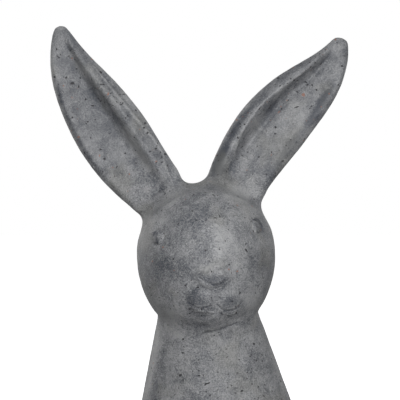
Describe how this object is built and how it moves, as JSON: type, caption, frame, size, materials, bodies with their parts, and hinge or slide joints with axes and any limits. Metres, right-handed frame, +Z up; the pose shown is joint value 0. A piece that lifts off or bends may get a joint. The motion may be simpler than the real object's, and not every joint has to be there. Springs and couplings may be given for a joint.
{
  "type": "rabbit garden sculpture",
  "caption": "Cast cement rabbit bust with long upright ears, for a garden or a shelf, cut off flat below the chest.",
  "frame": {"origin": "middle of the flat underside of the chest", "axes": "+Z up, towards the ear tips; the rabbit looks along -Y; +X to the right of someone facing it"},
  "size_m": [0.3016, 0.1809, 0.3998],
  "materials": {
    "cement": "matt grey cement, cloudy and speckled, with pinholes"
  },
  "bodies": {
    "root": {"rabbit_bust": "cement"}
  },
  "joints": []
}
